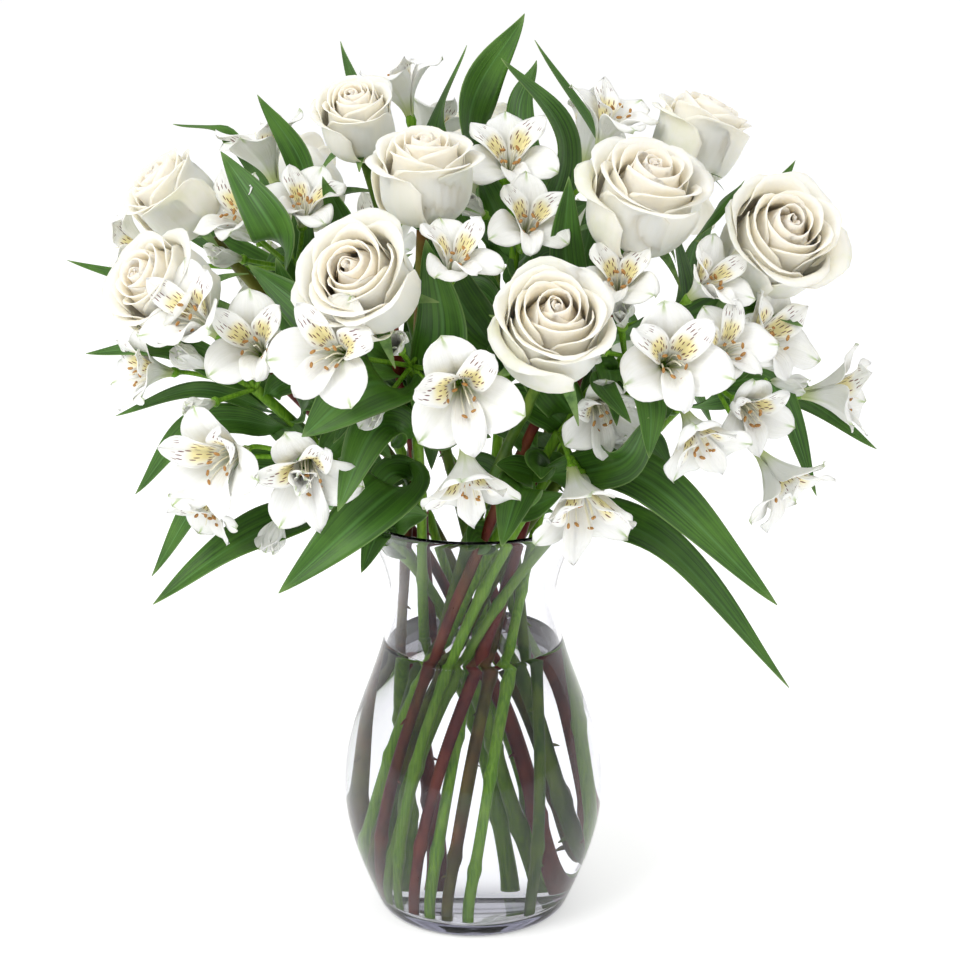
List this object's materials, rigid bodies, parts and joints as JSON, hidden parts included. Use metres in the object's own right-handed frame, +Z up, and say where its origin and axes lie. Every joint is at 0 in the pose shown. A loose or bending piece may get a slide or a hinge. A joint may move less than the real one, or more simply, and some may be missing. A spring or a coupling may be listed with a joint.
{
  "type": "cut flower bouquet in a glass vase",
  "caption": "Mixed bouquet of cream roses and white spotted alstroemerias with long green leaves, standing in a clear waisted glass vase part filled with water.",
  "frame": {"origin": "middle of the vase's flat underside, on the surface it stands on", "axes": "+Z up along the vase's axis; -Y is the bouquet's front; +X is to the right seen from the front"},
  "size_m": [0.4096, 0.3011, 0.4766],
  "materials": {
    "clear_glass": "polished",
    "water": "gloss",
    "rose_petal": "satin",
    "rose_stem": "satin",
    "alstroemeria_petal": "satin",
    "leaf_and_stem_green": "satin"
  },
  "bodies": {
    "root": {"vase": "clear_glass", "water": "water", "rose_1_bloom": "rose_petal", "rose_1_stem": "rose_stem", "rose_2_bloom": "rose_petal", "rose_2_stem": "rose_stem", "rose_3_bloom": "rose_petal", "rose_3_stem": "rose_stem", "rose_4_bloom": "rose_petal", "rose_4_stem": "rose_stem", "rose_5_bloom": "rose_petal", "rose_5_stem": "rose_stem", "rose_6_bloom": "rose_petal", "rose_6_stem": "rose_stem", "rose_7_bloom": "rose_petal", "rose_7_stem": "rose_stem", "rose_8_bloom": "rose_petal", "rose_8_stem": "rose_stem", "rose_9_bloom": "rose_petal", "rose_9_stem": "rose_stem", "rose_10_bloom": "rose_petal", "rose_10_stem": "rose_stem", "rose_11_bloom": "rose_petal", "rose_11_stem": "rose_stem", "rose_12_bloom": "rose_petal", "rose_12_stem": "rose_stem", "alstroemeria_1_florets": "alstroemeria_petal", "alstroemeria_1_stem_and_leaves": "leaf_and_stem_green", "alstroemeria_2_florets": "alstroemeria_petal", "alstroemeria_2_stem_and_leaves": "leaf_and_stem_green", "alstroemeria_3_florets": "alstroemeria_petal", "alstroemeria_3_stem_and_leaves": "leaf_and_stem_green", "alstroemeria_4_florets": "alstroemeria_petal", "alstroemeria_4_stem_and_leaves": "leaf_and_stem_green", "alstroemeria_5_florets": "alstroemeria_petal", "alstroemeria_5_stem_and_leaves": "leaf_and_stem_green", "alstroemeria_6_florets": "alstroemeria_petal", "alstroemeria_6_stem_and_leaves": "leaf_and_stem_green", "alstroemeria_7_florets": "alstroemeria_petal", "alstroemeria_7_stem_and_leaves": "leaf_and_stem_green", "alstroemeria_8_florets": "alstroemeria_petal", "alstroemeria_8_stem_and_leaves": "leaf_and_stem_green", "alstroemeria_9_florets": "alstroemeria_petal", "alstroemeria_9_stem_and_leaves": "leaf_and_stem_green", "alstroemeria_10_florets": "alstroemeria_petal", "alstroemeria_10_stem_and_leaves": "leaf_and_stem_green"}
  },
  "joints": []
}
